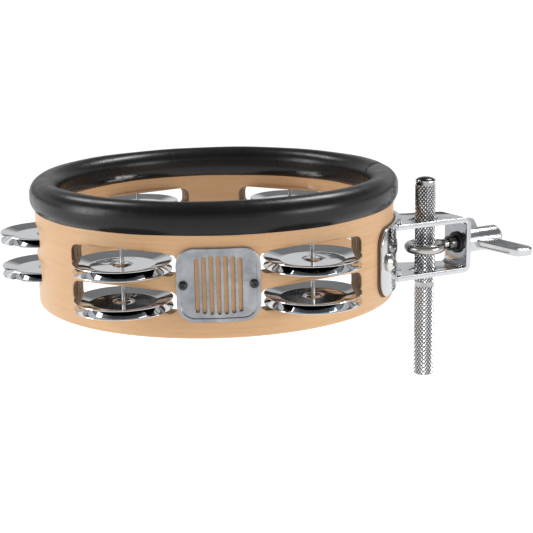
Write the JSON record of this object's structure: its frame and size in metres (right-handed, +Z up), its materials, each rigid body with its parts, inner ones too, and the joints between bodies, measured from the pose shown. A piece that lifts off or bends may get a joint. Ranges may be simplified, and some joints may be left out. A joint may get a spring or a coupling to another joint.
{
  "type": "tambourine",
  "caption": "Round wooden hoop with a soft black rim, pairs of dished jingles on pins in slots, and a chrome eye-bolt clamp on a knurled rod.",
  "frame": {"origin": "middle of the lower end of the mounting rod", "axes": "+Z up the rod; the hoop stands off along -X and the clamp's wing nut is towards +X; the badge on the hoop's front faces -Y"},
  "size_m": [0.3066, 0.219, 0.1248],
  "materials": {
    "shell_wood": "clear satin lacquer on maple",
    "rim_rubber": "satin",
    "badge_metal": "satin nickel",
    "black_steel": "black oxide",
    "gasket_rubber": "matte",
    "bracket_chrome": "bright plated",
    "nickel_screw": "bright nickel",
    "black_nylon": "matte",
    "bolt_steel": "bright zinc",
    "cast_chrome": "satin chrome on a casting",
    "rod_chrome": "chrome over a diamond knurl",
    "pin_steel": "bright drawn wire",
    "jingle_chrome": "bright plated"
  },
  "bodies": {
    "post": {"mount_rod": "rod_chrome"},
    "eye": {"eye_bolt": "bolt_steel"},
    "hoop": {"shell": "shell_wood", "rim_tube": "rim_rubber", "badge": "badge_metal", "badge_screws": "black_steel", "saddle_gasket": "gasket_rubber", "saddle_plate": "bracket_chrome", "saddle_screws": "nickel_screw", "saddle_nuts": "nickel_screw", "clamp_bracket": "bracket_chrome", "bolt_bush": "black_nylon", "bolt_collar": "bolt_steel", "bolt_washer": "bolt_steel", "jingle_pin_front_left": "pin_steel", "jingle_pin_front_right": "pin_steel", "jingle_pin_left": "pin_steel", "jingle_pin_back_left": "pin_steel", "jingle_pin_back_right": "pin_steel"},
    "wing": {"wing_nut": "cast_chrome"},
    "jingle_front_left_low_under": {"jingle_front_left_low_under": "jingle_chrome"},
    "jingle_front_left_low_over": {"jingle_front_left_low_over": "jingle_chrome"},
    "jingle_front_left_high_under": {"jingle_front_left_high_under": "jingle_chrome"},
    "jingle_front_left_high_over": {"jingle_front_left_high_over": "jingle_chrome"},
    "jingle_front_right_low_under": {"jingle_front_right_low_under": "jingle_chrome"},
    "jingle_front_right_low_over": {"jingle_front_right_low_over": "jingle_chrome"},
    "jingle_front_right_high_under": {"jingle_front_right_high_under": "jingle_chrome"},
    "jingle_front_right_high_over": {"jingle_front_right_high_over": "jingle_chrome"},
    "jingle_left_low_under": {"jingle_left_low_under": "jingle_chrome"},
    "jingle_left_low_over": {"jingle_left_low_over": "jingle_chrome"},
    "jingle_left_high_under": {"jingle_left_high_under": "jingle_chrome"},
    "jingle_left_high_over": {"jingle_left_high_over": "jingle_chrome"},
    "jingle_back_left_low_under": {"jingle_back_left_low_under": "jingle_chrome"},
    "jingle_back_left_low_over": {"jingle_back_left_low_over": "jingle_chrome"},
    "jingle_back_left_high_under": {"jingle_back_left_high_under": "jingle_chrome"},
    "jingle_back_left_high_over": {"jingle_back_left_high_over": "jingle_chrome"},
    "jingle_back_right_low_under": {"jingle_back_right_low_under": "jingle_chrome"},
    "jingle_back_right_low_over": {"jingle_back_right_low_over": "jingle_chrome"},
    "jingle_back_right_high_under": {"jingle_back_right_high_under": "jingle_chrome"},
    "jingle_back_right_high_over": {"jingle_back_right_high_over": "jingle_chrome"}
  },
  "joints": [
    {"name": "rod_swivel", "type": "hinge", "parent": "post", "child": "eye", "pos_m": [0, 0, 0.0767], "axis": [0, 0, 1], "continuous": true},
    {"name": "clamp_slide", "type": "slide", "parent": "eye", "child": "hoop", "axis": [0.8988, 0.4384, 0], "range_m": [0, 0.0015]},
    {"name": "wing_turn", "type": "hinge", "parent": "hoop", "child": "wing", "pos_m": [0.03146, 0.01534, 0.0767], "axis": [0.8988, 0.4384, 0], "range_deg": [0, 540]},
    {"name": "front_left_low_under_lift", "type": "slide", "parent": "hoop", "child": "jingle_front_left_low_under", "axis": [0, 0, 1], "range_m": [0, 0.0029]},
    {"name": "front_left_low_over_lift", "type": "slide", "parent": "jingle_front_left_low_under", "child": "jingle_front_left_low_over", "axis": [0, 0, 1], "range_m": [0, 0.0029]},
    {"name": "front_left_high_under_lift", "type": "slide", "parent": "hoop", "child": "jingle_front_left_high_under", "axis": [0, 0, 1], "range_m": [0, 0.0029]},
    {"name": "front_left_high_over_lift", "type": "slide", "parent": "jingle_front_left_high_under", "child": "jingle_front_left_high_over", "axis": [0, 0, 1], "range_m": [0, 0.0029]},
    {"name": "front_right_low_under_lift", "type": "slide", "parent": "hoop", "child": "jingle_front_right_low_under", "axis": [0, 0, 1], "range_m": [0, 0.0029]},
    {"name": "front_right_low_over_lift", "type": "slide", "parent": "jingle_front_right_low_under", "child": "jingle_front_right_low_over", "axis": [0, 0, 1], "range_m": [0, 0.0029]},
    {"name": "front_right_high_under_lift", "type": "slide", "parent": "hoop", "child": "jingle_front_right_high_under", "axis": [0, 0, 1], "range_m": [0, 0.0029]},
    {"name": "front_right_high_over_lift", "type": "slide", "parent": "jingle_front_right_high_under", "child": "jingle_front_right_high_over", "axis": [0, 0, 1], "range_m": [0, 0.0029]},
    {"name": "left_low_under_lift", "type": "slide", "parent": "hoop", "child": "jingle_left_low_under", "axis": [0, 0, 1], "range_m": [0, 0.0029]},
    {"name": "left_low_over_lift", "type": "slide", "parent": "jingle_left_low_under", "child": "jingle_left_low_over", "axis": [0, 0, 1], "range_m": [0, 0.0029]},
    {"name": "left_high_under_lift", "type": "slide", "parent": "hoop", "child": "jingle_left_high_under", "axis": [0, 0, 1], "range_m": [0, 0.0029]},
    {"name": "left_high_over_lift", "type": "slide", "parent": "jingle_left_high_under", "child": "jingle_left_high_over", "axis": [0, 0, 1], "range_m": [0, 0.0029]},
    {"name": "back_left_low_under_lift", "type": "slide", "parent": "hoop", "child": "jingle_back_left_low_under", "axis": [0, 0, 1], "range_m": [0, 0.0029]},
    {"name": "back_left_low_over_lift", "type": "slide", "parent": "jingle_back_left_low_under", "child": "jingle_back_left_low_over", "axis": [0, 0, 1], "range_m": [0, 0.0029]},
    {"name": "back_left_high_under_lift", "type": "slide", "parent": "hoop", "child": "jingle_back_left_high_under", "axis": [0, 0, 1], "range_m": [0, 0.0029]},
    {"name": "back_left_high_over_lift", "type": "slide", "parent": "jingle_back_left_high_under", "child": "jingle_back_left_high_over", "axis": [0, 0, 1], "range_m": [0, 0.0029]},
    {"name": "back_right_low_under_lift", "type": "slide", "parent": "hoop", "child": "jingle_back_right_low_under", "axis": [0, 0, 1], "range_m": [0, 0.0029]},
    {"name": "back_right_low_over_lift", "type": "slide", "parent": "jingle_back_right_low_under", "child": "jingle_back_right_low_over", "axis": [0, 0, 1], "range_m": [0, 0.0029]},
    {"name": "back_right_high_under_lift", "type": "slide", "parent": "hoop", "child": "jingle_back_right_high_under", "axis": [0, 0, 1], "range_m": [0, 0.0029]},
    {"name": "back_right_high_over_lift", "type": "slide", "parent": "jingle_back_right_high_under", "child": "jingle_back_right_high_over", "axis": [0, 0, 1], "range_m": [0, 0.0029]}
  ],
  "couplings": [
    {"joint": "wing_turn", "follows": "clamp_slide", "rad_per_m": 6283}
  ]
}
